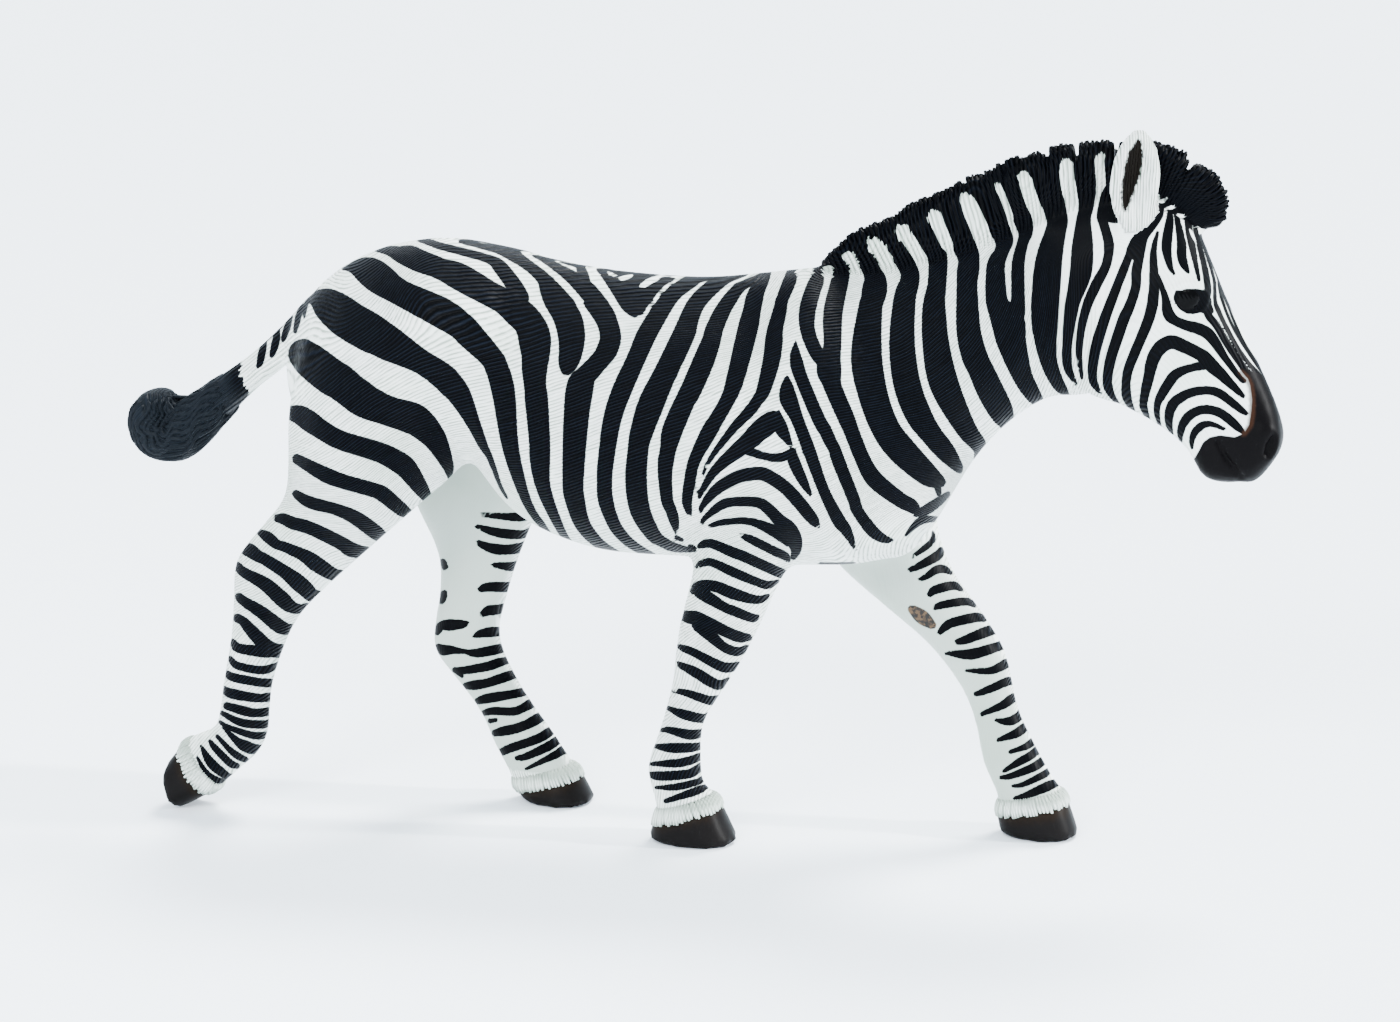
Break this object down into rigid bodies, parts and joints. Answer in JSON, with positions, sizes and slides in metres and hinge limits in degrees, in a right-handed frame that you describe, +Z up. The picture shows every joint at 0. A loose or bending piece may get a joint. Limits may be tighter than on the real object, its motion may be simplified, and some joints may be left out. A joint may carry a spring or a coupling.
{
  "type": "zebra figurine",
  "caption": "Striped walking zebra figurine with an upright mane and a curled tail, hand-painted, standing on its own hooves.",
  "frame": {"origin": "centre of the figure's box, on the surface that it stands on", "axes": "+X the way the zebra walks and faces, +Y its left side, +Z up"},
  "size_m": [0.3126, 0.0694, 0.1905],
  "materials": {
    "painted_resin": "hand-painted cast resin, satin: off-white coat with blue-black stripes, dark muzzle and hooves"
  },
  "bodies": {
    "root": {"zebra": "painted_resin"}
  },
  "joints": []
}
